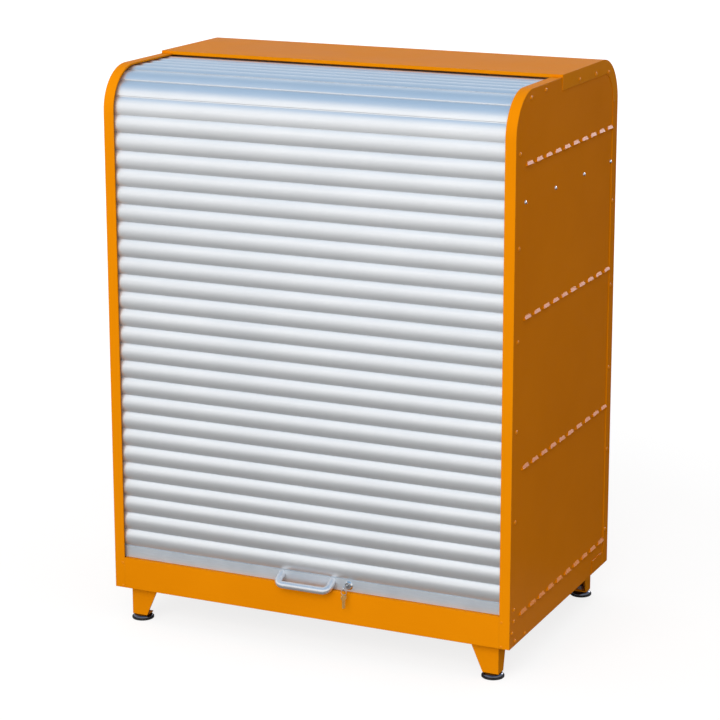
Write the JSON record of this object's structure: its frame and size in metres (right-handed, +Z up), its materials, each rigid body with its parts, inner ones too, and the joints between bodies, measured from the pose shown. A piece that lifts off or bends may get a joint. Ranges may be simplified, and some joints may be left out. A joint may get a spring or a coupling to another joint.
{
  "type": "roll-front hazardous materials cabinet",
  "caption": "Orange sheet-steel cabinet with a silver slatted roll shutter over a curved front, louvred sides, a low handle with key lock, and levelling feet.",
  "frame": {"origin": "centre of the part's box, on the floor", "axes": "+X to the right seen from the front, +Y from the shutter to the back, +Z up"},
  "size_m": [1.0084, 0.677, 1.323],
  "materials": {
    "body_paint": "semi-gloss orange powder coat",
    "slat_aluminium": "satin silver coating",
    "rail_aluminium": "matt natural anodised",
    "track_aluminium": "mill finish",
    "handle_aluminium": "satin silver lacquer",
    "inner_paint": "light grey powder coat",
    "zinc_steel": "zinc plated",
    "foot_chrome": "bright plated",
    "lock_chrome": "polished",
    "key_brass": "worn brass with a thin nickel skin",
    "black_rubber": "matt",
    "black_plastic": "matt"
  },
  "bodies": {
    "cabinet": {"side_panel_left": "body_paint", "front_frame_left": "body_paint", "track_front_left": "body_paint", "track_top_left": "body_paint", "track_rear_left": "track_aluminium", "upright_front_left": "inner_paint", "upright_rear_left": "inner_paint", "side_panel_right": "body_paint", "front_frame_right": "body_paint", "track_front_right": "body_paint", "track_top_right": "body_paint", "track_rear_right": "track_aluminium", "upright_front_right": "inner_paint", "upright_rear_right": "inner_paint", "top_cover": "body_paint", "back_panel": "body_paint", "plinth_front": "body_paint", "base_pan": "body_paint", "spill_tray": "inner_paint", "inner_back": "inner_paint", "inner_ceiling": "inner_paint", "shelf_low": "inner_paint", "shelf_mid": "inner_paint", "shelf_high": "inner_paint", "shelf_clips": "zinc_steel", "leg_nuts": "zinc_steel", "leg_front_left": "body_paint", "leg_front_right": "body_paint", "leg_rear_left": "body_paint", "leg_rear_right": "body_paint", "shutter_front_slats": "slat_aluminium", "shutter_bend_slats": "slat_aluminium", "shutter_top_slats": "slat_aluminium"},
    "shutter": {"bottom_rail": "rail_aluminium", "rail_seal": "black_rubber", "rail_glide_left": "black_plastic", "rail_glide_right": "black_plastic", "handle": "handle_aluminium", "handle_screws": "zinc_steel", "lock_body": "lock_chrome", "lock_nut": "zinc_steel"},
    "lock_core": {"lock_plug": "lock_chrome", "lock_cam": "zinc_steel", "cam_screw": "zinc_steel", "key": "lock_chrome"},
    "ring": {"key_ring": "zinc_steel"},
    "spare": {"spare_key": "key_brass"},
    "foot_front_left": {"foot_stem_front_left": "foot_chrome", "foot_pad_front_left": "black_rubber"},
    "foot_front_right": {"foot_stem_front_right": "foot_chrome", "foot_pad_front_right": "black_rubber"},
    "foot_rear_left": {"foot_stem_rear_left": "foot_chrome", "foot_pad_rear_left": "black_rubber"},
    "foot_rear_right": {"foot_stem_rear_right": "foot_chrome", "foot_pad_rear_right": "black_rubber"}
  },
  "joints": [
    {"name": "shutter_lift", "type": "slide", "parent": "cabinet", "child": "shutter", "axis": [0, 0, 1], "range_m": [0, 1.019], "deforming": ["shutter_front_slats"]},
    {"name": "lock_turn", "type": "hinge", "parent": "shutter", "child": "lock_core", "pos_m": [0.105, -0.302, 0.171], "axis": [0, -1, 0], "range_deg": [0, 90]},
    {"name": "ring_swing", "type": "hinge", "parent": "lock_core", "child": "ring", "pos_m": [0.105, -0.329, 0.171], "axis": [1, 0, 0], "range_deg": [-25, 8]},
    {"name": "spare_swing", "type": "hinge", "parent": "ring", "child": "spare", "pos_m": [0.105, -0.329, 0.15535], "axis": [1, 0, 0], "range_deg": [-15, 12]},
    {"name": "level_front_left", "type": "slide", "parent": "cabinet", "child": "foot_front_left", "axis": [0, 0, -1], "range_m": [0, 0.015]},
    {"name": "level_front_right", "type": "slide", "parent": "cabinet", "child": "foot_front_right", "axis": [0, 0, -1], "range_m": [0, 0.015]},
    {"name": "level_rear_left", "type": "slide", "parent": "cabinet", "child": "foot_rear_left", "axis": [0, 0, -1], "range_m": [0, 0.015]},
    {"name": "level_rear_right", "type": "slide", "parent": "cabinet", "child": "foot_rear_right", "axis": [0, 0, -1], "range_m": [0, 0.015]}
  ]
}
